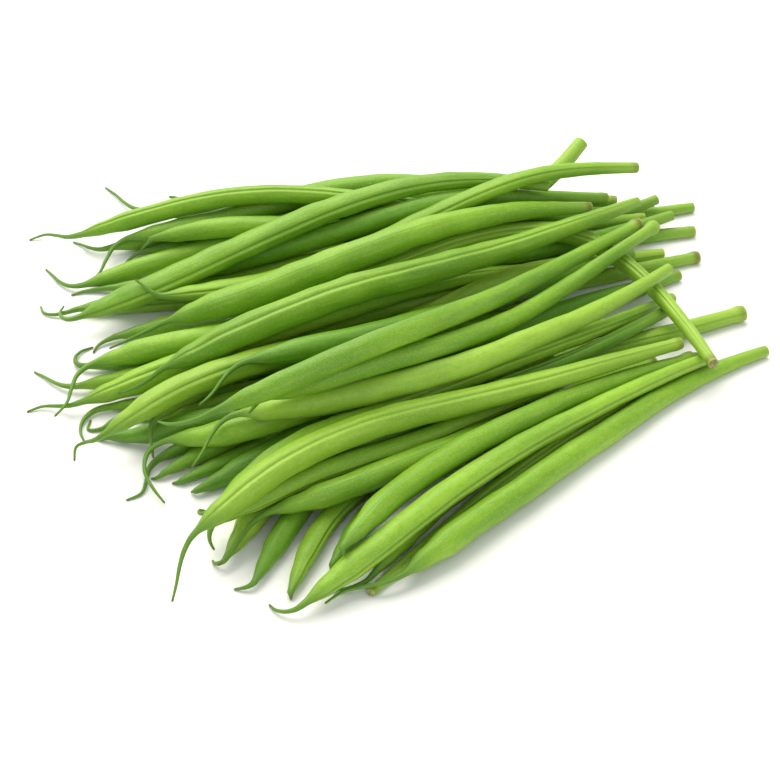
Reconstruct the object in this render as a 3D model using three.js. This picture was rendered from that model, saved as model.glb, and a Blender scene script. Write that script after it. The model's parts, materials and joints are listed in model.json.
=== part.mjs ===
// A heap of whole green beans, laid all one way with the stem ends gathered and the beaks fanned out.
// Every bean is one closed solid. Units are millimetres, +Z is up, and the heap lies on z = 0 with its
// origin under the middle of its box: +X runs towards the stem ends, -Y is the front of the fan.
//
// Each bean is first drawn flat, as a route seen from above. Then the whole heap settles: the beans sink,
// press each other aside and come to rest in layers, in the order in which they are listed.
import * as THREE from "three";

// ---- one bean ----
const POD_STEPS = 18; // straight stretches along a pod
const BEAK_STEPS = 4; // straight stretches along the thin beak at its tip
const SIDES = 6; // sides of the section
const NECK = 3.2; // width of an ordinary stem end
const SWELL_SHARE = 0.75; // share of the pod over which the stem end swells to full width
const BEAK_TAPER = 15; // length over which the pod narrows into its beak
const TAPER_POWER = 1.25; // 1 gives a blunt shoulder above the beak, more gives a slimmer one
const BEAK_ROOT = 1.0; // radius of the beak where the pod ends
const BEAK_POINT = 0.38; // radius of the beak at its point
const END_DOME = 0.35; // how far both ends stand out, as shallow domes

// ---- the heap ----
const GAP = 0.3; // air kept between two beans
const FIRST_HEIGHT = 4; // height from which the first bean sinks
const LAYER_RISE = 0.55; // how much higher each next bean starts
const SETTLE_ROUNDS = 560; // rounds of sinking and pushing apart
const FINISH_ROUNDS = 400; // most rounds of pushing apart at the end, without sinking
const SINK = 0.08; // how far a bean sinks in a round
const STIFFNESS = 0.9; // how strongly a bean keeps its own curve
const HOLD = 0.03; // how strongly a bean is kept to its route seen from above
const TOP_HOLD = 0.3; // the same for the beans of the upper layers
const CLEAR_ENOUGH = 0.02; // a push smaller than this counts as settled
const REACH = 2.5; // extra distance at which two stretches count as neighbours
const NEIGHBOUR_ROUNDS = 12; // rounds between two searches for neighbours

const TONES = {
  light: new THREE.Color(0x9cc25a),
  mid: new THREE.Color(0x76a83c),
  dark: new THREE.Color(0x55862a),
};

// One bean: where its stem end and the tip of its pod lie, how far its middle bows to the left on the way
// from stem to tip, an S-shaped sway, its thickness, and its beak as [length, turn, extra turn at the end]
// in millimetres and degrees, turning to the left.
const bean = (stem, tip, bow, sway, thick, beak, tone, extra = {}) => (
  { stem, tip, bow, sway, thick, beak, tone, neck: NECK, hold: HOLD, stemRise: 0, ...extra }
);
const top = (...sizes) => ({ ...bean(...sizes), hold: TOP_HOLD });

// In laying order, from the table up.
const BEANS = [
  // the front edge of the fan
  bean([-6, -61], [69, 13], 1, -1, 5, [4, 0, 0], "mid", { neck: 2.4 }),
  bean([84, 27], [-3, -58], -3, 1, 6.5, [13, -120, 60], "mid"),
  bean([106, 27], [3, -58], -8, -2, 7.5, [21, -160, 170], "mid"),
  bean([102, 45], [-12, -20], -4, 0, 6.5, [5, -10, 10], "light", { neck: 4.4 }),
  bean([47, 19], [-14, -53], -5, 1, 5.5, [2, 0, 0], "dark"),
  bean([42, 23], [-24, -62], -8, 2, 6, [2, 20, -20], "light"),
  bean([31, 30], [-33, -59], -7, 0, 6.5, [6, -180, 110], "dark"),
  bean([31, 26], [-41, -53], -4, 1, 7.5, [6, -180, 30], "light"),
  bean([47, 12], [-44, -45], 1, -1, 5.5, [7, 130, -30], "mid"),
  // the low beans at the left
  bean([19, 19], [-54, -23], -1, 0, 4.5, [3, -40, 0], "dark"),
  bean([17, 24], [-59, -21], -1, 0, 6, [4, -10, -50], "mid"),
  bean([11, 30], [-62, -16], -1, 0, 5.5, [16, 250, -290], "dark"),
  bean([19, 17], [-76, -8], 9, -3, 5.5, [4, -80, 80], "dark"),
  bean([22, 24], [-72, 2], 8, 0, 5, [15, 280, -430], "mid"),
  bean([31, 37], [-77, 5], 6, 1, 5, [16, 130, -10], "mid"),
  bean([38, 50], [-86, 13], 2, -1, 6, [16, -150, 110], "light"),
  bean([44, 57], [-84, 21], 3, -2, 5.5, [14, -230, 70], "dark"),
  bean([45, 70], [-77, 34], 3, 0, 6, [9, 10, 60], "mid"),
  bean([33, 79], [-90, 45], 4, -2, 6.5, [14, 60, -160], "mid"),
  bean([39, 75], [-82, 57], 6, 1, 6, [12, 0, 30], "mid"),
  // the back edge
  bean([62, 93], [-84, 71], -2, -1, 6.5, [14, -190, 140], "mid"),
  bean([82, 95], [-73, 76], 1, -1, 6, [10, 120, -50], "dark"),
  bean([93, 97], [-61, 99], 17, 1, 6, [9, -80, 90], "mid"),
  bean([81, 98], [-74, 91], 15, 2, 6, [24, -140, 110], "dark"),
  bean([71, 86], [-79, 76], 0, -1, 6.5, [21, 270, -250], "mid"),
  // the heart of the heap
  bean([93, 72], [-40, 20], -2, -1, 6.5, [6, 50, -40], "mid"),
  bean([93, 83], [-42, 33], -3, -3, 7, [6, 60, -50], "mid"),
  bean([87, 61], [-38, -7], 4, -2, 6, [6, 60, -50], "dark"),
  bean([84, 71], [-44, 16], -1, -1, 6.5, [6, 40, -40], "light"),
  bean([79, 39], [-34, -29], 2, 1, 5.5, [5, 20, -10], "dark"),
  bean([48, 34], [-51, -26], 3, 3, 6.5, [2, 70, -60], "dark"),
  bean([32, 48], [-60, -10], -6, 3, 6.5, [11, 100, -70], "light"),
  bean([37, 47], [-75, -15], -1, 0, 7.5, [14, -290, 390], "light"),
  bean([42, 68], [-84, 2], 8, 0, 7.5, [16, -170, 190], "mid"),
  bean([51, 86], [-90, 57], -7, 1, 6.5, [17, -220, 150], "mid"),
  bean([78, 90], [-71, 72], 5, 3, 6, [7, -20, 30], "mid"),
  // the upper layers
  top([86, 86], [-45, 34], 4, 0, 6, [5, 20, -10], "dark"),
  top([60, 41], [-59, -14], 14, -1, 7, [22, 280, -150], "mid"),
  top([32, 59], [-82, 16], 3, 0, 7, [20, 250, -230], "mid"),
  top([58, 106], [-57, 58], 10, 6, 7, [5, 0, 0], "light", { neck: 4.6, stemRise: 8 }),
  top([89, 20], [-21, -68], -4, -1, 7, [11, -120, 10], "mid"),
  top([75, 23], [-31, -41], 3, -2, 7, [19, 150, -130], "mid"),
  top([86, 22], [-11, -57], -8, 1, 7, [2, 90, -70], "mid"),
  top([83, 52], [-42, -42], 1, 4, 6.5, [13, -110, -150], "mid"),
  top([72, 68], [-39, 4], 4, -2, 6.5, [18, 160, -140], "dark"),
  top([79, 56], [-31, -10], 6, -5, 5.5, [5, 40, -30], "dark"),
  top([39, 78], [-94, 76], -1, 2, 6, [19, -210, 240], "mid"),
  top([67, 88], [-63, 54], 1, 0, 6.5, [4, 20, -10], "dark"),
  top([48, 78], [-89, 37], -8, -3, 8, [14, -210, 80], "mid"),
  top([76, 92], [-65, 40], 3, -2, 6.5, [9, -140, 100], "mid"),
  top([88, 12], [-27, 28], -46, -9, 6.5, [5, -30, 20], "light"),
  top([80, 49], [-40, -13], 15, -2, 7, [19, 210, -160], "mid"),
  top([78, 67], [-33, -17], 11, -4, 6, [5, 30, -20], "mid"),
  top([74, 69], [-44, -23], 10, -5, 6.5, [21, -60, -10], "mid"),
  top([81, 23], [-48, -53], -5, 3, 8, [18, 110, -80], "light"),
  top([61, 79], [-63, 29], 6, -2, 9, [18, 10, -10], "mid"),
  top([74, 78], [-61, 6], 5, 0, 9, [15, 10, -50], "mid"),
];

const clamp = (value) => Math.min(1, Math.max(0, value));
const mix = (from, to, share) => from + (to - from) * share;

// Radius of a bean at a distance along it from its stem end.
function radiusAt({ thick, neck, beak }, podLength, distance) {
  if (distance > podLength) {
    return mix(BEAK_ROOT, BEAK_POINT, (distance - podLength) / beak[0]);
  }
  const unswollen = 1 - clamp(distance / (SWELL_SHARE * podLength));
  const body = mix(neck, thick, 1 - unswollen ** 2) / 2;
  const nearTip = clamp((podLength - distance) / BEAK_TAPER) ** TAPER_POWER;
  return mix(BEAK_ROOT, body, Math.sin((nearTip * Math.PI) / 2));
}

// The flat route of a bean from stem end to beak point, with the distance along it and the radius.
function drawRoute(shape) {
  const [length, turn, hook] = shape.beak;
  const chord = new THREE.Vector2(shape.tip[0] - shape.stem[0], shape.tip[1] - shape.stem[1]);
  const along = chord.clone().normalize();
  const left = new THREE.Vector2(-along.y, along.x);
  const route = [];
  let distance = 0;
  const add = (place) => {
    if (route.length > 0) distance += place.distanceTo(route.at(-1).place);
    route.push({ place, distance });
  };
  for (let step = 0; step <= POD_STEPS; step += 1) {
    const share = step / POD_STEPS;
    const aside = 4 * shape.bow * share * (1 - share) + shape.sway * Math.sin(2 * Math.PI * share);
    add(new THREE.Vector2(...shape.stem).addScaledVector(chord, share).addScaledVector(left, aside));
  }
  const podLength = distance;
  const slope = (-4 * shape.bow + 2 * Math.PI * shape.sway) / chord.length();
  const heading = along.angle() + Math.atan(slope);
  for (let step = 0; step < BEAK_STEPS; step += 1) {
    const share = (step + 0.5) / BEAK_STEPS;
    const angle = heading + THREE.MathUtils.degToRad(turn * share + hook * share * share);
    const stride = new THREE.Vector2(Math.cos(angle), Math.sin(angle)).multiplyScalar(length / BEAK_STEPS);
    add(route.at(-1).place.clone().add(stride));
  }
  return route.map((point) => ({ ...point, radius: radiusAt(shape, podLength, point.distance) }));
}

// A bean as a chain of points that can sink and bend. rest holds how far each point stands from the middle
// of its two neighbours while the bean keeps its own curve.
function makeChain(shape, index) {
  const route = drawRoute(shape);
  const height = FIRST_HEIGHT + index * LAYER_RISE;
  const points = route.map(({ place }, step) => {
    const rise = shape.stemRise * (1 - clamp(step / (POD_STEPS / 3))) ** 2;
    return new THREE.Vector3(place.x, place.y, height + rise);
  });
  const rest = points.map((point, i) => (
    i === 0 || i === points.length - 1
      ? null
      : point.clone().sub(points[i - 1].clone().lerp(points[i + 1], 0.5))
  ));
  const lengths = points.map((point, i) => (i === 0 ? 0 : point.distanceTo(points[i - 1])));
  const targets = route.map(({ place }) => place);
  return { points, rest, lengths, targets, radii: route.map(({ radius }) => radius), hold: shape.hold };
}

// Where two stretches cross when they are seen from above, as shares along each, or null.
function crossing(a, b, c, d) {
  const abx = b.x - a.x;
  const aby = b.y - a.y;
  const cdx = d.x - c.x;
  const cdy = d.y - c.y;
  const turn = abx * cdy - aby * cdx;
  if (Math.abs(turn) < 1e-9) return null;
  const s = ((c.x - a.x) * cdy - (c.y - a.y) * cdx) / turn;
  const t = ((c.x - a.x) * aby - (c.y - a.y) * abx) / turn;
  return s < 0 || s > 1 || t < 0 || t > 1 ? null : [s, t];
}

// The shares along two stretches at which they come nearest to each other.
function nearest(a, b, c, d) {
  const abx = b.x - a.x;
  const aby = b.y - a.y;
  const abz = b.z - a.z;
  const cdx = d.x - c.x;
  const cdy = d.y - c.y;
  const cdz = d.z - c.z;
  const cax = a.x - c.x;
  const cay = a.y - c.y;
  const caz = a.z - c.z;
  const ab2 = abx * abx + aby * aby + abz * abz;
  const cd2 = cdx * cdx + cdy * cdy + cdz * cdz;
  const both = abx * cdx + aby * cdy + abz * cdz;
  const onFirst = abx * cax + aby * cay + abz * caz;
  const onSecond = cdx * cax + cdy * cay + cdz * caz;
  const skew = ab2 * cd2 - both * both;
  let s = skew > 1e-9 ? clamp((both * onSecond - onFirst * cd2) / skew) : 0.5;
  let t = (both * s + onSecond) / cd2;
  if (t < 0 || t > 1) {
    t = clamp(t);
    s = clamp((both * t - onFirst) / ab2);
  }
  return [s, t];
}

// Pushes two stretches apart where they are closer than their radii and the gap. The bean listed later
// always ends above the earlier one where the two cross. Gives back how far they were pushed.
function separate(lower, i, upper, j, strength, between) {
  const a = lower.points[i];
  const b = lower.points[i + 1];
  const c = upper.points[j];
  const d = upper.points[j + 1];
  const reach = ([s, t]) => (
    mix(lower.radii[i], lower.radii[i + 1], s) + mix(upper.radii[j], upper.radii[j + 1], t) + GAP
  );
  const cross = crossing(a, b, c, d);
  let shares = cross ?? nearest(a, b, c, d);
  const measure = () => between.set(
    mix(c.x, d.x, shares[1]) - mix(a.x, b.x, shares[0]),
    mix(c.y, d.y, shares[1]) - mix(a.y, b.y, shares[0]),
    mix(c.z, d.z, shares[1]) - mix(a.z, b.z, shares[0]),
  );
  measure();
  let distance = cross ? between.z : between.length();
  let straightUp = cross !== null;
  if (cross && distance > 0.35 * reach(shares)) {
    shares = nearest(a, b, c, d);
    measure();
    distance = between.length();
    straightUp = between.z <= 0;
  }
  const push = reach(shares) - distance;
  if (push <= 0) return 0;
  if (straightUp || distance < 1e-6) between.set(0, 0, 1);
  else between.divideScalar(distance);
  const [s, t] = shares;
  const share = (Math.min(push, 2) * strength) / ((1 - s) ** 2 + s ** 2 + (1 - t) ** 2 + t ** 2);
  a.addScaledVector(between, -share * (1 - s));
  b.addScaledVector(between, -share * s);
  c.addScaledVector(between, share * (1 - t));
  d.addScaledVector(between, share * t);
  return push;
}

// Pulls a chain back to its own lengths and curve, and a little towards its route seen from above.
function keepShape({ points, rest, lengths, targets }, hold, stiffness, scratch) {
  points.forEach((point, i) => {
    point.x += hold * (targets[i].x - point.x);
    point.y += hold * (targets[i].y - point.y);
  });
  for (let pass = 0; pass < 2; pass += 1) {
    for (let i = 1; i < points.length; i += 1) {
      scratch.subVectors(points[i], points[i - 1]);
      const length = scratch.length();
      scratch.multiplyScalar((0.5 * (length - lengths[i])) / length);
      points[i - 1].add(scratch);
      points[i].sub(scratch);
    }
    for (let i = 1; i < points.length - 1; i += 1) {
      scratch.addVectors(points[i - 1], points[i + 1]).multiplyScalar(0.5).add(rest[i]).sub(points[i]);
      scratch.multiplyScalar(stiffness / 2);
      points[i].add(scratch);
      points[i - 1].addScaledVector(scratch, -0.5);
      points[i + 1].addScaledVector(scratch, -0.5);
    }
  }
}

// Every pair of stretches of two beans that lie close to each other, seen from above.
function findNeighbours(chains) {
  const boxOf = (points) => new THREE.Box2().setFromPoints(points);
  const boxes = chains.map(({ points, radii }) => (
    points.slice(1).map((point, i) => (
      boxOf([points[i], point]).expandByScalar(Math.max(radii[i], radii[i + 1]) + REACH / 2)
    ))
  ));
  const wholes = boxes.map((list) => list.reduce((sum, box) => sum.union(box), new THREE.Box2()));
  const pairs = [];
  chains.forEach((lower, first) => {
    for (let second = first + 1; second < chains.length; second += 1) {
      if (!wholes[first].intersectsBox(wholes[second])) continue;
      boxes[first].forEach((box, i) => {
        if (!box.intersectsBox(wholes[second])) return;
        boxes[second].forEach((other, j) => {
          if (box.intersectsBox(other)) pairs.push({ lower, i, upper: chains[second], j });
        });
      });
    }
  });
  return pairs;
}

// Lets the heap sink and press itself apart until every bean lies clear of its neighbours.
function settle(chains) {
  const scratch = new THREE.Vector3();
  let pairs = [];
  const pushApart = (strength) => {
    let largest = 0;
    pairs.forEach(({ lower, i, upper, j }) => {
      largest = Math.max(largest, separate(lower, i, upper, j, strength, scratch));
    });
    chains.forEach(({ points, radii }) => {
      points.forEach((point, i) => {
        point.z = Math.max(point.z, radii[i]);
      });
    });
    return largest;
  };
  for (let round = 0; round < SETTLE_ROUNDS; round += 1) {
    if (round % NEIGHBOUR_ROUNDS === 0) pairs = findNeighbours(chains);
    const sink = SINK * clamp((5 * (SETTLE_ROUNDS - round)) / SETTLE_ROUNDS);
    chains.forEach((chain) => {
      chain.points.forEach((point) => {
        point.z -= sink;
      });
      keepShape(chain, chain.hold, STIFFNESS, scratch);
    });
    pushApart(0.7);
    pushApart(0.9);
  }
  for (let round = 0; round < FINISH_ROUNDS; round += 1) {
    if (round % NEIGHBOUR_ROUNDS === 0) pairs = findNeighbours(chains);
    if (round % 4 === 0 && round < 0.75 * FINISH_ROUNDS) {
      chains.forEach((chain) => keepShape(chain, 0, STIFFNESS / 2, scratch));
    }
    if (pushApart(1) < CLEAR_ENOUGH && round > NEIGHBOUR_ROUNDS) break;
  }
}

// The closed skin of a chain: a ring of points round each of its places, and a shallow dome at each end.
function skinOf({ points, radii }) {
  const last = points.length - 1;
  const directions = points.map((_, i) => (
    points[Math.min(i + 1, last)].clone().sub(points[Math.max(i - 1, 0)]).normalize()
  ));
  const vertices = [points[0].clone().addScaledVector(directions[0], -END_DOME)];
  points.forEach((point, i) => {
    const side = directions[i].clone().cross(new THREE.Vector3(0, 0, 1)).normalize();
    const over = side.clone().cross(directions[i]);
    for (let corner = 0; corner < SIDES; corner += 1) {
      const angle = (2 * Math.PI * corner) / SIDES;
      vertices.push(
        point.clone()
          .addScaledVector(side, radii[i] * Math.cos(angle))
          .addScaledVector(over, radii[i] * Math.sin(angle)),
      );
    }
  });
  vertices.push(points[last].clone().addScaledVector(directions[last], END_DOME));
  const at = (ring, corner) => 1 + ring * SIDES + (corner % SIDES);
  const faces = [];
  for (let corner = 0; corner < SIDES; corner += 1) {
    faces.push(0, at(0, corner), at(0, corner + 1));
    for (let ring = 0; ring < last; ring += 1) {
      faces.push(at(ring, corner), at(ring + 1, corner), at(ring + 1, corner + 1));
      faces.push(at(ring, corner), at(ring + 1, corner + 1), at(ring, corner + 1));
    }
    faces.push(vertices.length - 1, at(last, corner + 1), at(last, corner));
  }
  const geometry = new THREE.BufferGeometry().setFromPoints(vertices);
  geometry.setIndex(faces);
  return geometry;
}

function buildHeap() {
  const chains = BEANS.map(makeChain);
  settle(chains);
  const heap = new THREE.Group();
  chains.forEach((chain, index) => {
    const material = new THREE.MeshStandardMaterial({
      color: TONES[BEANS[index].tone],
      roughness: 0.45,
      metalness: 0,
    });
    material.name = `${BEANS[index].tone}_green`;
    const mesh = new THREE.Mesh(skinOf(chain), material);
    mesh.name = `bean_${String(index + 1).padStart(2, "0")}`;
    heap.add(mesh);
  });
  const box = new THREE.Box3().setFromObject(heap);
  const centre = box.getCenter(new THREE.Vector3());
  heap.children.forEach((mesh) => mesh.geometry.translate(-centre.x, -centre.y, -box.min.z));
  return heap;
}

export default buildHeap();
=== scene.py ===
"""Fine surfaces, finishes, light and camera for a heap of whole green beans.

Each bean of the frame gives the line that its fine bean follows and its thickness along it. A fine bean
is a round section drawn along that line, then modelled: the suture with its two lips, the soft swell of
the seeds, the snapped stem end and the thin curled beak.
"""
import json
import logging
import math
import random
from dataclasses import dataclass, field
from enum import Enum
from typing import Iterable, Union

import bmesh
import bpy
from mathutils import Matrix, Quaternion, Vector


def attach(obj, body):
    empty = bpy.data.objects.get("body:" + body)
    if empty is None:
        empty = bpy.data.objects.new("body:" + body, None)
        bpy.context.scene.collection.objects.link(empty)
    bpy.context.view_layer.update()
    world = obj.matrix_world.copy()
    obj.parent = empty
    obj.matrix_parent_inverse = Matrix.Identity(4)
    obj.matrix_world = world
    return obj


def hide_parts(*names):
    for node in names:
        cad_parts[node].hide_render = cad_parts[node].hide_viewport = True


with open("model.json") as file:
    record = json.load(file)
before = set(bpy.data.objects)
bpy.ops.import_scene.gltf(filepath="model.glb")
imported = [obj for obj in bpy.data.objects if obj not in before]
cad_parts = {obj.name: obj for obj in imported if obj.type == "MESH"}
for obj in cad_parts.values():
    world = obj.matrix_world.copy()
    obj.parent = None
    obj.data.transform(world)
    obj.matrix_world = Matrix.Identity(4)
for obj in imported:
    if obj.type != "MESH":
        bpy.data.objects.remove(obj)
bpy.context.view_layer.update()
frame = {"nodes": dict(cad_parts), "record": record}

LOG = logging.getLogger("green_beans")
MM = 0.001
SEED = 57


class Tone(Enum):
    """The three skin colours of the heap, by their material slots."""

    LIGHT = "light_green"
    MID = "mid_green"
    DARK = "dark_green"


# How far the seam of some beans is turned from straight up towards the front, in degrees.
SEAM_TURNS: dict[str, float] = {
    "bean_57": 22.0,
    "bean_56": 205.0,
    "bean_55": 24.0,
    "bean_54": 170.0,
    "bean_53": 190.0,
    "bean_52": 165.0,
    "bean_51": 35.0,
    "bean_50": 48.0,
    "bean_49": 60.0,
    "bean_47": 25.0,
    "bean_43": 180.0,
    "bean_42": 200.0,
    "bean_41": 68.0,
    "bean_34": 30.0,
    "bean_33": 40.0,
}


@dataclass(frozen=True)
class StemEnd:
    """How a stem end was left when the bean was picked.

    Args:
        collar: How much wider its collar is, as a share of the neck.
        brown: How brown the collar has dried, from 0 to 1.
    """

    collar: float
    brown: float


PLAIN_ENDS = (StemEnd(0.0, 0.0), StemEnd(0.05, 0.1), StemEnd(0.1, 0.2), StemEnd(0.16, 0.45))
OWN_ENDS: dict[str, StemEnd] = {
    "bean_54": StemEnd(0.42, 1.0),
    "bean_53": StemEnd(0.4, 0.0),
    "bean_26": StemEnd(0.26, 0.95),
    "bean_42": StemEnd(0.14, 1.0),
    "bean_56": StemEnd(0.08, 0.9),
    "bean_51": StemEnd(0.0, 0.7),
    "bean_50": StemEnd(0.06, 0.5),
}


# ---------------------------------------------------------------------------------------------------
# Shader wiring
# ---------------------------------------------------------------------------------------------------
Number = Union[int, float]


class Wire:
    """A socket of a material's nodes, with arithmetic that adds Math nodes."""

    def __init__(self, board: "Board", socket: bpy.types.NodeSocket) -> None:
        """Wraps a socket.

        Args:
            board: The node board that the socket belongs to.
            socket: The output socket.
        """
        self.board = board
        self.socket = socket

    def __add__(self, other: "Wire | Number") -> "Wire":
        """Sum of this value and another."""
        return self.board.sum_up("ADD", self, other)

    def __radd__(self, other: Number) -> "Wire":
        """Sum with a number on the left."""
        return self.board.sum_up("ADD", other, self)

    def __sub__(self, other: "Wire | Number") -> "Wire":
        """Difference of this value and another."""
        return self.board.sum_up("SUBTRACT", self, other)

    def __rsub__(self, other: Number) -> "Wire":
        """Difference with a number on the left."""
        return self.board.sum_up("SUBTRACT", other, self)

    def __mul__(self, other: "Wire | Number") -> "Wire":
        """Product of this value and another."""
        return self.board.sum_up("MULTIPLY", self, other)

    def __rmul__(self, other: Number) -> "Wire":
        """Product with a number on the left."""
        return self.board.sum_up("MULTIPLY", other, self)

    def size(self) -> "Wire":
        """This value without its sign."""
        return self.board.sum_up("ABSOLUTE", self)

    def above(self, limit: Number) -> "Wire":
        """1 where this value is above the limit, else 0."""
        return self.board.sum_up("GREATER_THAN", self, limit)

    def fade(self, start: Number, end: Number, low: Number = 0.0, high: Number = 1.0) -> "Wire":
        """Goes softly from one value to another while this value goes from start to end.

        Args:
            start: This value where the change begins.
            end: This value where it is complete.
            low: The result at the start.
            high: The result at the end.

        Returns:
            The wire of the result.
        """
        return self.board.node(
            "ShaderNodeMapRange",
            {"interpolation_type": "SMOOTHSTEP"},
            {"Value": self, "From Min": start, "From Max": end, "To Min": low, "To Max": high},
        )


class Board:
    """The nodes of one material."""

    def __init__(self, name: str) -> None:
        """Starts an empty material with a Principled shader on its output.

        Args:
            name: The material's name.
        """
        self.material = bpy.data.materials.new(name)
        self.material.use_nodes = True
        self.tree = self.material.node_tree
        self.tree.nodes.clear()
        output = self.tree.nodes.new("ShaderNodeOutputMaterial")
        self.shader = self.tree.nodes.new("ShaderNodeBsdfPrincipled")
        self.tree.links.new(self.shader.outputs["BSDF"], output.inputs["Surface"])

    def node(self, kind: str, settings: dict, values: dict, output: "str | int" = 0) -> Wire:
        """Adds one node.

        Args:
            kind: The node's type.
            settings: Properties of the node, set first.
            values: For each input socket, a number, a colour, a vector or a wire.
            output: The output socket that is wanted.

        Returns:
            The wire from that output.
        """
        made = self.tree.nodes.new(kind)
        for key, value in settings.items():
            setattr(made, key, value)
        for key, value in values.items():
            self.feed(made.inputs[key], value)
        return Wire(self, made.outputs[output])

    def feed(self, socket: bpy.types.NodeSocket, value: object) -> None:
        """Links a wire to a socket, or sets the socket's own value.

        Args:
            socket: The input socket.
            value: A wire, or what the socket holds.
        """
        if isinstance(value, Wire):
            self.tree.links.new(value.socket, socket)
        else:
            socket.default_value = value

    def sum_up(self, operation: str, *values: "Wire | Number") -> Wire:
        """One Math node on one or two values."""
        return self.node("ShaderNodeMath", {"operation": operation}, dict(enumerate(values)))

    def mark(self, name: str) -> Wire:
        """The vector that a piece stores at each point under a name."""
        return self.node(
            "ShaderNodeAttribute",
            {"attribute_type": "GEOMETRY", "attribute_name": name},
            {},
            "Vector",
        )

    def split(self, vector: Wire) -> tuple[Wire, Wire, Wire]:
        """Takes a vector apart.

        Args:
            vector: The vector's wire.

        Returns:
            The wires of its three numbers.
        """
        x_wire = self.node("ShaderNodeSeparateXYZ", {}, {"Vector": vector}, "X")
        parts = x_wire.socket.node.outputs
        return x_wire, Wire(self, parts["Y"]), Wire(self, parts["Z"])

    def noise(self, place: Wire, grain: "Grain") -> Wire:
        """Soft noise with a grain of its own.

        Args:
            place: Where on the surface, in the grain's unit of length.
            grain: How fine the noise is and how it is stretched.

        Returns:
            A value about 0.5.
        """
        spread = self.node("ShaderNodeVectorMath", {"operation": "MULTIPLY"}, {0: place, 1: grain.scale})
        return self.node(
            "ShaderNodeTexNoise",
            {},
            {"Vector": spread, "Scale": 1.0, "Detail": grain.detail, "Roughness": grain.rough},
            "Fac",
        )

    def blend(self, amount: "Wire | Number", first: object, second: object) -> Wire:
        """Mixes two colours.

        Args:
            amount: How much of the second one there is, from 0 to 1.
            first: A colour or a wire.
            second: A colour or a wire.

        Returns:
            The wire of the mixed colour.
        """
        made = self.tree.nodes.new("ShaderNodeMix")
        made.data_type = "RGBA"
        made.clamp_factor = True
        sockets = {socket.identifier: socket for socket in made.inputs}
        self.feed(sockets["Factor_Float"], amount)
        self.feed(sockets["A_Color"], first)
        self.feed(sockets["B_Color"], second)
        outputs = {socket.identifier: socket for socket in made.outputs}
        return Wire(self, outputs["Result_Color"])

    def set(self, name: str, value: object) -> None:
        """Sets or links an input of the Principled shader."""
        self.feed(self.shader.inputs[name], value)


# ---------------------------------------------------------------------------------------------------
# Finishes
# ---------------------------------------------------------------------------------------------------
Colour = tuple[float, float, float, float]


@dataclass(frozen=True)
class Grain:
    """How fine a noise is.

    Args:
        scale: Features per unit of length, across, across and along.
        detail: Octaves of finer noise.
        rough: How strong the finer octaves are.
    """

    scale: tuple[float, float, float]
    detail: float
    rough: float = 0.55


PATCHES = Grain((0.14, 0.14, 0.03), 2.0)
STREAKS = Grain((1.1, 1.1, 0.07), 3.0)
MOTTLE = Grain((0.8, 0.8, 0.5), 4.0, 0.65)
# Fine noise: as relief it gives the skin's pores, and as pale colour it paints small glints of light.
PORES_AND_GLINTS = Grain((3.6, 3.6, 2.6), 2.0, 0.6)
# Sparse noise for pale spots that are painted in as glints of light on the skin.
GLINT_SPOTS = Grain((2.0, 2.0, 0.8), 3.0, 0.7)
TABLE_GRAIN = Grain((25.0, 25.0, 25.0), 2.0)


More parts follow.
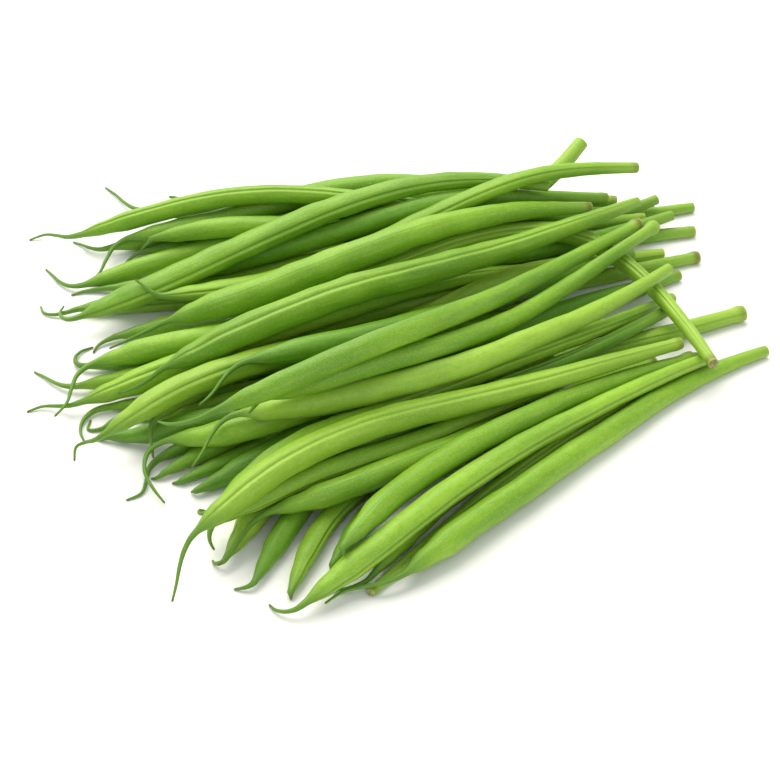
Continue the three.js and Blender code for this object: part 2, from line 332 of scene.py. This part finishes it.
@dataclass(frozen=True)
class SkinFinish:
    """The skin of a fresh bean: leaf green with pale streaks, pale specks of painted highlight, a seam
    groove darkened with painted shade, and brown at its ends.

    The shares say how much of its colour a mark lays over the skin. The lengths are in millimetres, as
    the marks of a bean are.
    """

    name: str
    base: Colour
    pale: Colour
    deep: Colour
    neck: Colour = (0.32, 0.50, 0.065, 1.0)
    beak: Colour = (0.095, 0.225, 0.020, 1.0)
    cut: Colour = (0.46, 0.50, 0.20, 1.0)
    brown: Colour = (0.15, 0.075, 0.025, 1.0)
    roughness: float = 0.42
    seam_width: float = 0.32
    back_seam_width: float = 0.25
    lip_width: float = 1.15
    deep_share: float = 0.42
    streak_share: float = 0.16
    mottle_share: float = 0.36
    # The next two shares lay painted highlights: fine pale specks and sparse pale spots standing for
    # glints.
    glint_share: float = 0.28
    glint_spot_share: float = 0.45
    lip_share: float = 0.18
    # How much painted shade darkens the seam's groove.
    groove_shade_share: float = 0.6
    back_seam_share: float = 0.3
    neck_length: float = 22.0
    neck_share: float = 0.4
    beak_share: float = 0.85
    brown_share: float = 0.7
    relief: float = 0.24 * MM
    relief_strength: float = 0.55
    gloss_index: float = 1.42
    glow: float = 0.1
    glow_colour: tuple[float, float, float] = (0.9, 1.0, 0.25)
    glow_depth: float = 1.6 * MM

    def build(self) -> bpy.types.Material:
        """Makes the material.

        Returns:
            The material, which reads the marks straight, place and nature of a bean.
        """
        board = Board(self.name)
        straight = board.mark("straight")
        over, aside, _ = board.split(straight)
        from_stem, from_pod_tip, from_point = board.split(board.mark("place"))
        tone, stem_brown, beak_brown = board.split(board.mark("nature"))

        patches = board.noise(straight, PATCHES)
        streaks = board.noise(straight, STREAKS)
        mottle = board.noise(straight, MOTTLE)
        pores_and_glints = board.noise(straight, PORES_AND_GLINTS)
        # Sparse pale spots of painted highlight on the skin.
        glint_spots = board.noise(straight, GLINT_SPOTS).fade(0.66, 0.72) * patches.fade(0.5, 0.62)

        seam_side = over.above(0.0)
        beside = aside.size()
        # The seam's groove: the darker colour laid over it below is painted shade.
        seam = (1 - beside.fade(0.04, self.seam_width)) * seam_side
        lips = beside.fade(0.25, 0.6) * (1 - beside.fade(0.7, self.lip_width)) * seam_side
        back_seam = (1 - beside.fade(0.04, self.back_seam_width)) * (1 - seam_side)

        colour = board.blend((patches - 0.5) * 2.0 + self.deep_share - tone * 0.4, self.base, self.deep)
        colour = board.blend(streaks.fade(0.45, 0.75) * self.streak_share, colour, self.pale)
        colour = board.blend((1 - mottle.fade(0.32, 0.58)) * self.mottle_share, colour, self.deep)
        # Painted highlights: fine specks and sparse spots, laid in pale colour, stand for glints of light
        # on the skin.
        painted_glints = pores_and_glints.fade(0.52, 0.66) * self.glint_share + glint_spots * self.glint_spot_share
        colour = board.blend(painted_glints, colour, self.pale)
        colour = board.blend(tone.fade(0.0, 1.0) * 0.25, colour, self.pale)
        colour = board.blend(lips * self.lip_share, colour, self.pale)
        # Painted shade darkens the seam's groove; the back seam is darkened a little as well.
        colour = board.blend(seam * self.groove_shade_share + back_seam * self.back_seam_share, colour, self.deep)
        neck = 1 - from_stem.fade(1.0, self.neck_length)
        colour = board.blend(neck * self.neck_share, colour, self.neck)
        colour = board.blend((1 - from_pod_tip.fade(-4.0, 9.0)) * self.beak_share, colour, self.beak)
        collar = from_stem.fade(0.3, 0.9) * (1 - from_stem.fade(1.2, 3.4)) * stem_brown
        colour = board.blend(collar * self.brown_share, colour, self.brown)
        face = 1 - from_stem.fade(0.05, 0.35)
        colour = board.blend(face, colour, self.cut)
        colour = board.blend(face * (streaks.fade(0.35, 0.6) * 0.35 + stem_brown * 0.6), colour, self.brown)
        point = (1 - from_point.fade(0.3, 2.0)) * beak_brown
        colour = board.blend(point * self.brown_share, colour, self.brown)
        board.set("Base Color", colour)

        board.set("Roughness", self.roughness + (mottle - 0.5) * 0.2 + face * 0.3 + point * 0.25)
        hollows = seam * 0.6 + back_seam * 0.3
        height = streaks * 0.2 + mottle * 0.6 + pores_and_glints * 0.5 - hollows
        normal = board.node(
            "ShaderNodeBump",
            {},
            {"Strength": self.relief_strength, "Distance": self.relief, "Height": height},
        )
        board.set("Normal", normal)
        board.set("IOR", self.gloss_index)
        board.set("Subsurface Weight", self.glow)
        board.set("Subsurface Radius", self.glow_colour)
        board.set("Subsurface Scale", self.glow_depth)
        return board.material


@dataclass(frozen=True)
class TableFinish:
    """A plain pale table top with the faintest grain."""

    name: str = "pale_table"
    base: Colour = (0.93, 0.93, 0.925, 1.0)
    grain_colour: Colour = (0.90, 0.90, 0.90, 1.0)
    roughness: float = 0.85

    def build(self) -> bpy.types.Material:
        """Makes the material.

        Returns:
            The material, which reads the table's own coordinates in metres.
        """
        board = Board(self.name)
        place = board.node("ShaderNodeTexCoord", {}, {}, "Object")
        grain = board.noise(place, TABLE_GRAIN)
        board.set("Base Color", board.blend(grain, self.base, self.grain_colour))
        board.set("Roughness", self.roughness)
        return board.material


SKINS: dict[Tone, SkinFinish] = {
    Tone.LIGHT: SkinFinish(
        "light_bean_skin",
        base=(0.31, 0.53, 0.038, 1.0),
        pale=(0.52, 0.69, 0.14, 1.0),
        deep=(0.18, 0.36, 0.018, 1.0),
    ),
    Tone.MID: SkinFinish(
        "leaf_bean_skin",
        base=(0.268, 0.505, 0.025, 1.0),
        pale=(0.50, 0.65, 0.13, 1.0),
        deep=(0.125, 0.30, 0.012, 1.0),
    ),
    Tone.DARK: SkinFinish(
        "deep_bean_skin",
        base=(0.158, 0.375, 0.014, 1.0),
        pale=(0.32, 0.52, 0.07, 1.0),
        deep=(0.072, 0.205, 0.008, 1.0),
    ),
}


# ---------------------------------------------------------------------------------------------------
# One bean
# ---------------------------------------------------------------------------------------------------
@dataclass(frozen=True)
class Backbone:
    """The line that a bean follows and its radius along it, from stem end to beak point."""

    centres: tuple[Vector, ...]
    radii: tuple[float, ...]

    @classmethod
    def of_node(cls, node: bpy.types.Object) -> "Backbone":
        """Reads the rings of a frame node, walking over its mesh from one end to the other.

        Args:
            node: The frame's solid of one bean.

        Returns:
            The backbone, which starts at the thicker end.
        """
        mesh = bmesh.new()
        mesh.from_mesh(node.data)
        bmesh.ops.remove_doubles(mesh, verts=mesh.verts, dist=0.002 * MM)
        mesh.verts.ensure_lookup_table()
        far_end = cls._layers(mesh.verts[0])[-1][0]
        layers = cls._layers(far_end)
        rings = [[vert.co.copy() for vert in layer] for layer in layers[1:-1]]
        mesh.free()
        centres = [sum(ring, Vector()) / len(ring) for ring in rings]
        radii = [
            sum((corner - centre).length for corner in ring) / len(ring)
            for ring, centre in zip(rings, centres)
        ]
        if radii[0] < radii[-1]:
            centres.reverse()
            radii.reverse()
        return cls(tuple(centres), tuple(radii))

    @staticmethod
    def _layers(start: bmesh.types.BMVert) -> list[list[bmesh.types.BMVert]]:
        """Groups the points of a mesh by how many edges they are from a starting point.

        Args:
            start: The point to start from.

        Returns:
            The groups, nearest first.
        """
        seen = {start}
        layers = [[start]]
        while layers[-1]:
            reached = []
            for vert in layers[-1]:
                for edge in vert.link_edges:
                    other = edge.other_vert(vert)
                    if other not in seen:
                        seen.add(other)
                        reached.append(other)
            layers.append(reached)
        return layers[:-1]

    def at(self, step: float) -> tuple[Vector, float]:
        """Place and radius at a step along the backbone, smooth through every ring.

        Args:
            step: A whole number at each ring, and anything between.

        Returns:
            The centre and the radius there.
        """
        last = len(self.centres) - 1
        index = min(max(int(step), 0), last - 1)
        share = step - index
        before = self.centres[max(index - 1, 0)]
        start = self.centres[index]
        end = self.centres[index + 1]
        after = self.centres[min(index + 2, last)]
        way_in = (end - before) / 2
        way_out = (after - start) / 2
        cube, square = share**3, share**2
        centre = (
            start * (2 * cube - 3 * square + 1)
            + way_in * (cube - 2 * square + share)
            + end * (3 * square - 2 * cube)
            + way_out * (cube - square)
        )
        ease = square * (3 - 2 * share)
        radius = self.radii[index] * (1 - ease) + self.radii[index + 1] * ease
        return centre, radius


@dataclass
class Station:
    """One section of a fine bean."""

    centre: Vector
    radius: float
    distance: float
    turn: Quaternion = field(default_factory=Quaternion)


@dataclass(frozen=True)
class BeanStyle:
    """Sizes of the fine surface.

    Lengths are in metres, heights and depths are shares of a bean's radius, angles are in radians round
    the bean unless a name says degrees, and a pair is a range to draw from.
    """

    sides: int = 44
    spacing: float = 0.9 * MM
    seam_crowding: float = 0.5
    steps_per_ring: int = 24
    skin_clearance: float = 0.04

    stem_sections: tuple[float, ...] = tuple(
        place * MM for place in (0.0, 0.0, 0.0, 0.15, 0.4, 0.8, 1.2, 1.7, 2.3, 3.0)
    )
    face_sections: int = 3
    lead_section: int = 12
    rim: float = 0.28 * MM
    face_share: float = 0.45
    face_dome: float = 0.12 * MM
    face_shoulder: float = 0.03 * MM
    collar_at: float = 1.7 * MM
    collar_length: float = 1.5 * MM

    pole_radius: float = 0.04 * MM
    beak_from: float = 0.33
    beak_slimming: float = 0.2
    slimming_before: float = 2 * MM
    slimming_after: float = 5 * MM
    point_shoulder: float = 0.25 * MM
    point_share: float = 0.6
    point_reach: float = 0.33 * MM

    seam_start: float = 10 * MM
    seam_full: float = 42 * MM
    seam_fading: float = 9 * MM
    seam_end: float = 1 * MM
    groove_depth: float = 0.075
    groove_half_angle: float = 0.115
    lip_height: float = 0.036
    lip_angle: float = 0.28
    lip_half_angle: float = 0.14
    back_ridge: float = 0.03
    back_half_angle: float = 0.2
    oval: float = 0.035

    seed_spacing: float = 10.5 * MM
    seed_margin: float = 16.0 * MM
    wave_length: float = 5.5 * MM
    ripple_length: float = 2.3 * MM
    ripple_share: float = 0.6

    seam_turn_degrees: tuple[float, float] = (-40.0, 320.0)
    twist_degrees: tuple[float, float] = (-28.0, 28.0)
    seed_height: tuple[float, float] = (0.018, 0.042)
    waviness: tuple[float, float] = (0.016, 0.036)
    tone: tuple[float, float] = (-1.0, 0.6)
    beak_brown: tuple[float, float] = (0.3, 1.0)


@dataclass
class Bean:
    """One whole bean: its pod, stem end and beak are one piece."""

    name: str
    tone: Tone
    style: BeanStyle
    dice: random.Random

    def __post_init__(self) -> None:
        """Draws what makes this bean its own."""
        style, draw = self.style, self.dice.uniform
        self.backbone = Backbone.of_node(frame["nodes"][self.name])
        self.seam_turn = math.radians(SEAM_TURNS.get(self.name, draw(*style.seam_turn_degrees)))
        self.twist = math.radians(draw(*style.twist_degrees))
        self.seed_height = draw(*style.seed_height)
        self.seed_shift = self.dice.random()
        self.waviness = draw(*style.waviness)
        self.wave_shift = draw(0.0, math.tau)
        self.stem_end = OWN_ENDS.get(self.name, self.dice.choice(PLAIN_ENDS))
        self.nature = Vector((draw(*style.tone), self.stem_end.brown, draw(*style.beak_brown)))

    def stations(self) -> list[Station]:
        """Places the sections along the backbone, closer together at both ends.

        Returns:
            The sections with their turns, from the middle of the stem end to the beak's point.
        """
        fine = self.style.steps_per_ring
        last = len(self.backbone.centres) - 1
        places = [self.backbone.at(step / fine) for step in range(last * fine + 1)]
        distances = [0.0]
        for (here, _), (there, _) in zip(places, places[1:]):
            distances.append(distances[-1] + (there - here).length)
        length = distances[-1]
        wanted = list(self.style.stem_sections)
        start = wanted[-1]
        count = round((length - start) / self.style.spacing)
        wanted += [start + (length - start) * step / count for step in range(1, count + 1)]
        made: list[Station] = []
        index = 0
        for distance in wanted:
            while index < len(distances) - 2 and distances[index + 1] < distance:
                index += 1
            share = (distance - distances[index]) / (distances[index + 1] - distances[index])
            (here, wide), (there, narrow) = places[index], places[index + 1]
            made.append(Station(here.lerp(there, share), wide + (narrow - wide) * share, distance))
        self._shape_ends(made)
        self._turn_sections(made)
        return made

    def _shape_ends(self, made: list[Station]) -> None:
        """Slims the skin and beak, rounds the rim of the stem end, adds its collar and closes both poles.

        Args:
            made: The sections from stem end to beak. The beak's last two are added to it.
        """
        style = self.style
        pod = self._pod_length(made)
        for station in made:
            slim = style.beak_slimming * smooth(
                pod - style.slimming_before, pod + style.slimming_after, station.distance
            )
            station.radius *= (1 - style.skin_clearance) * (1 - slim)
        full = made[0].radius
        made[0].radius = style.pole_radius
        made[1].radius = full * style.face_share
        made[2].radius = full - style.rim
        for station in made[style.face_sections:]:
            near = (station.distance - style.collar_at) / style.collar_length
            station.radius *= 1 + self.stem_end.collar * math.exp(-near * near)
        way = (made[style.face_sections].centre - made[style.lead_section].centre).normalized()
        made[0].centre = made[0].centre - way * style.face_dome
        made[1].centre = made[1].centre - way * style.face_shoulder
        end_way = (made[-1].centre - made[-3].centre).normalized()
        tip = made[-1]
        for reach, radius in (
            (style.point_shoulder, tip.radius * style.point_share),
            (style.point_reach, style.pole_radius),
        ):
            made.append(Station(tip.centre + end_way * reach, radius, tip.distance + reach))

    def _turn_sections(self, made: list[Station]) -> None:
        """Carries a frame along the bean without any sudden turn, then adds the slow twist.

        Args:
            made: The sections from stem end to beak, whose turns are set.
        """
        first = self.style.face_sections
        current = (made[self.style.lead_section].centre - made[first].centre).normalized()
        up = (Vector((0.0, 0.0, 1.0)) - current * current.z).normalized()
        turn = Matrix((up, current.cross(up), current)).transposed().to_quaternion()
        length = made[-1].distance
        for index, station in enumerate(made):
            low = made[max(index - 1, first)].centre
            high = made[min(max(index + 1, first + 2), len(made) - 1)].centre
            ahead = (high - low).normalized()
            turn = current.rotation_difference(ahead) @ turn
            current = ahead
            roll = self.twist * (station.distance / length - 0.5) - self.seam_turn
            station.turn = turn @ Quaternion((0.0, 0.0, 1.0), roll)

    def swell(self, angle: float, distance: float, pod: float) -> float:
        """How much the skin stands out at an angle from the seam, as a share of the radius.

        Args:
            angle: Angle round the bean, 0 at the seam.
            distance: Distance from the stem end.
            pod: Length of the pod without its beak.

        Returns:
            The share by which a round section grows there.
        """
        style = self.style
        fade = smooth(style.seam_start, style.seam_full, distance)
        fade *= 1 - smooth(pod - style.seam_fading, pod + style.seam_end, distance)
        groove = math.exp(-((angle / style.groove_half_angle) ** 2))
        lips = math.exp(-(((abs(angle) - style.lip_angle) / style.lip_half_angle) ** 2))
        back = math.exp(-(((math.pi - abs(angle)) / style.back_half_angle) ** 2))
        seam = style.lip_height * lips - style.groove_depth * groove + style.back_ridge * back
        seeded = smooth(style.seed_margin, style.seed_margin * 1.8, distance)
        seeded *= 1 - smooth(pod - style.seed_margin * 1.6, pod - style.seed_margin * 0.7, distance)
        beat = math.cos(math.tau * (distance / style.seed_spacing + self.seed_shift))
        seeds = self.seed_height * seeded * (0.5 + 0.5 * beat) * math.sin(angle) ** 2
        wave = math.sin(distance / style.wave_length + self.wave_shift + angle)
        ripple = math.sin(distance / style.ripple_length + 3 * self.wave_shift - 2 * angle)
        wave += style.ripple_share * ripple
        return (seam + style.oval * math.cos(2 * angle) + self.waviness * wave) * fade + seeds

    def build(self) -> bpy.types.Object:
        """Models the bean and lays it in the heap.

        Returns:
            The finished piece.
        """
        made = self.stations()
        mesh = bmesh.new()
        straight = mesh.verts.layers.float_vector.new("straight")
        place = mesh.verts.layers.float_vector.new("place")
        nature = mesh.verts.layers.float_vector.new("nature")
        ring = bmesh.ops.create_circle(mesh, segments=self.style.sides, radius=1.0)["verts"]
        for vert in ring:
            angle = math.atan2(vert.co.y, vert.co.x)
            angle -= self.style.seam_crowding * math.sin(angle)
            vert.co = Vector((math.cos(angle), math.sin(angle), 0.0))
            vert[straight] = vert.co
            vert[nature] = self.nature
        edges = list(mesh.edges)
        previous = Matrix.Identity(4)
        rings = []
        for station in made:
            if rings:
                grown = bmesh.ops.extrude_edge_only(mesh, edges=edges)["geom"]
                ring = [part for part in grown if isinstance(part, bmesh.types.BMVert)]
                members = set(ring)
                edges = [
                    part
                    for part in grown
                    if isinstance(part, bmesh.types.BMEdge) and members.issuperset(part.verts)
                ]
            matrix = Matrix.LocRotScale(station.centre, station.turn, Vector((station.radius,) * 3))
            bmesh.ops.transform(mesh, matrix=matrix @ previous.inverted(), verts=ring)
            previous = matrix
            rings.append(ring)
        self._model_skin(rings, made, (straight, place))
        for ring, station in ((rings[0], made[0]), (rings[-1], made[-1])):
            bmesh.ops.pointmerge(mesh, verts=ring, merge_co=station.centre)
        bmesh.ops.recalc_face_normals(mesh, faces=mesh.faces)
        for face in mesh.faces:
            face.smooth = True
        data = bpy.data.meshes.new(f"{self.name}_skin")
        mesh.to_mesh(data)
        mesh.free()
        piece = bpy.data.objects.new(f"fine_{self.name}", data)
        bpy.context.scene.collection.objects.link(piece)
        return piece

    def _model_skin(self, rings: list, made: list[Station], marks: tuple) -> None:
        """Models the seam, the seeds and the waviness, and marks each point for the finish.

        Args:
            rings: The points of each section.
            made: The sections.
            marks: The layers that hold the marks straight and place.
        """
        straight, place = marks
        total = made[-1].distance
        pod = self._pod_length(made)
        offset = self.dice.uniform(0.0, 900.0)
        for ring, station in zip(rings, made):
            for vert in ring:
                around = vert[straight].copy()
                angle = math.atan2(around.y, around.x)
                vert.co += (vert.co - station.centre) * self.swell(angle, station.distance, pod)
                vert.co.z = max(vert.co.z, 0.0)
                radius = station.radius / MM
                way = station.distance
                vert[straight] = (around.x * radius, around.y * radius, way / MM + offset)
                vert[place] = Vector((way, pod - way, total - way)) / MM

    def _pod_length(self, made: list[Station]) -> float:
        """Finds where the pod has narrowed to its beak.

        Args:
            made: The sections from stem end to beak.

        Returns:
            The distance of that place from the stem end.
        """
        widest = max(station.radius for station in made)
        past = [station for station in made if station.distance > made[-1].distance / 2]
        return next(station.distance for station in past if station.radius < self.style.beak_from * widest)

    def dress(self, piece: bpy.types.Object, skins: dict[Tone, bpy.types.Material]) -> None:
        """Gives the piece its skin and its place on the frame.

        Args:
            piece: The finished piece of this bean.
            skins: The material of each tone.
        """
        piece.data.materials.append(skins[self.tone])
        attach(piece, "root")
        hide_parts(self.name)


def smooth(start: float, end: float, value: float) -> float:
    """Goes softly from 0 to 1 while a value goes from start to end.

    Args:
        start: The value where the change begins.
        end: The value where it is complete.
        value: The value itself.

    Returns:
        A share from 0 to 1.
    """
    share = min(1.0, max(0.0, (value - start) / (end - start)))
    return share * share * (3 - 2 * share)


@dataclass
class Heap:
    """All the beans, as the frame lays them."""

    style: BeanStyle = field(default_factory=BeanStyle)

    def build(self) -> list[bpy.types.Object]:
        """Builds and dresses every bean of the frame.

        Returns:
            The pieces, in the order of their names.
        """
        skins = {tone: finish.build() for tone, finish in SKINS.items()}
        slots = {part["node"]: part["material_slot"] for part in frame["record"]["subparts"]}
        dice = random.Random(SEED)
        pieces = []
        for name in sorted(slots):
            bean = Bean(name, Tone(slots[name]), self.style, dice)
            piece = bean.build()
            bean.dress(piece, skins)
            pieces.append(piece)
            LOG.info("%s: %d faces, %s", piece.name, len(piece.data.polygons), bean.tone.value)
        return pieces


# ---------------------------------------------------------------------------------------------------
# Table, light and camera
# ---------------------------------------------------------------------------------------------------
@dataclass(frozen=True)
class Softbox:
    """A square area light that looks at the heap.

    Args:
        name: The light's name.
        place: Where it stands, in metres.
        size: Its side.
        power: Its strength in watts.
        warmth: How much of its blue is taken away, from 0 to 1.
    """

    name: str
    place: tuple[float, float, float]
    size: float
    power: float
    warmth: float


SOFTBOXES = (
    Softbox("key_light", (-0.3, 0.6, 1.0), 1.3, 21.5, 0.15),
    Softbox("front_fill", (0.4, -1.0, 0.7), 1.2, 2.5, 0.0),
)


@dataclass
class Studio:
    """A bright white table under soft light, and the camera in front of the fan."""

    target: Vector = field(default_factory=lambda: Vector((1.5, -19.4, 12.0)) * MM)
    elevation: float = math.radians(42.0)
    distance: float = 480.0 * MM
    focal: float = 83.1
    sensor: float = 36.0
    nearest: float = 0.01
    table_size: float = 6.0
    table_squares: int = 8
    sky_strength: float = 0.65

    def build(self) -> None:
        """Makes the table, the lights and the camera."""
        self._table()
        self._sky()
        for softbox in SOFTBOXES:
            self._hang(softbox)
        self._camera()

    def _table(self) -> None:
        """A wide flat table top just under the heap."""
        mesh = bmesh.new()
        squares = self.table_squares
        bmesh.ops.create_grid(mesh, x_segments=squares, y_segments=squares, size=self.table_size / 2)
        data = bpy.data.meshes.new("table_top")
        mesh.to_mesh(data)
        mesh.free()
        table = bpy.data.objects.new("table_top", data)
        data.materials.append(TableFinish().build())
        bpy.context.scene.collection.objects.link(table)

    def _sky(self) -> None:
        """Even white light from all round."""
        world = bpy.data.worlds.new("white_room")
        bpy.context.scene.world = world
        world.use_nodes = True
        background = world.node_tree.nodes["Background"]
        background.inputs["Color"].default_value = (1.0, 1.0, 1.0, 1.0)
        background.inputs["Strength"].default_value = self.sky_strength

    def _hang(self, softbox: Softbox) -> None:
        """Hangs one area light.

        Args:
            softbox: Its place, size and light.
        """
        light = bpy.data.lights.new(softbox.name, "AREA")
        light.size = softbox.size
        light.energy = softbox.power
        light.color = (1.0, 1.0 - 0.3 * softbox.warmth, 1.0 - softbox.warmth)
        lamp = bpy.data.objects.new(softbox.name, light)
        lamp.location = softbox.place
        lamp.rotation_mode = "QUATERNION"
        lamp.rotation_quaternion = (self.target - lamp.location).to_track_quat("-Z", "Y")
        bpy.context.scene.collection.objects.link(lamp)

    def _camera(self) -> None:
        """Looks down on the heap from the front."""
        camera = bpy.data.cameras.new("camera")
        camera.lens = self.focal
        camera.sensor_width = self.sensor
        camera.clip_start = self.nearest
        holder = bpy.data.objects.new("camera", camera)
        away = Vector((0.0, -math.cos(self.elevation), math.sin(self.elevation)))
        holder.location = self.target + away * self.distance
        holder.rotation_euler = (-away).to_track_quat("-Z", "Y").to_euler()
        bpy.context.scene.collection.objects.link(holder)
        bpy.context.scene.camera = holder
        bpy.context.scene.view_settings.view_transform = "Standard"


def main() -> None:
    """Builds the heap and the studio, and logs how many beans there are."""
    logging.basicConfig(level=logging.INFO, format="%(name)s: %(message)s")
    Studio().build()
    pieces = Heap().build()
    LOG.info("%d beans in the heap", len(pieces))


if __name__ == "__main__":
    main()
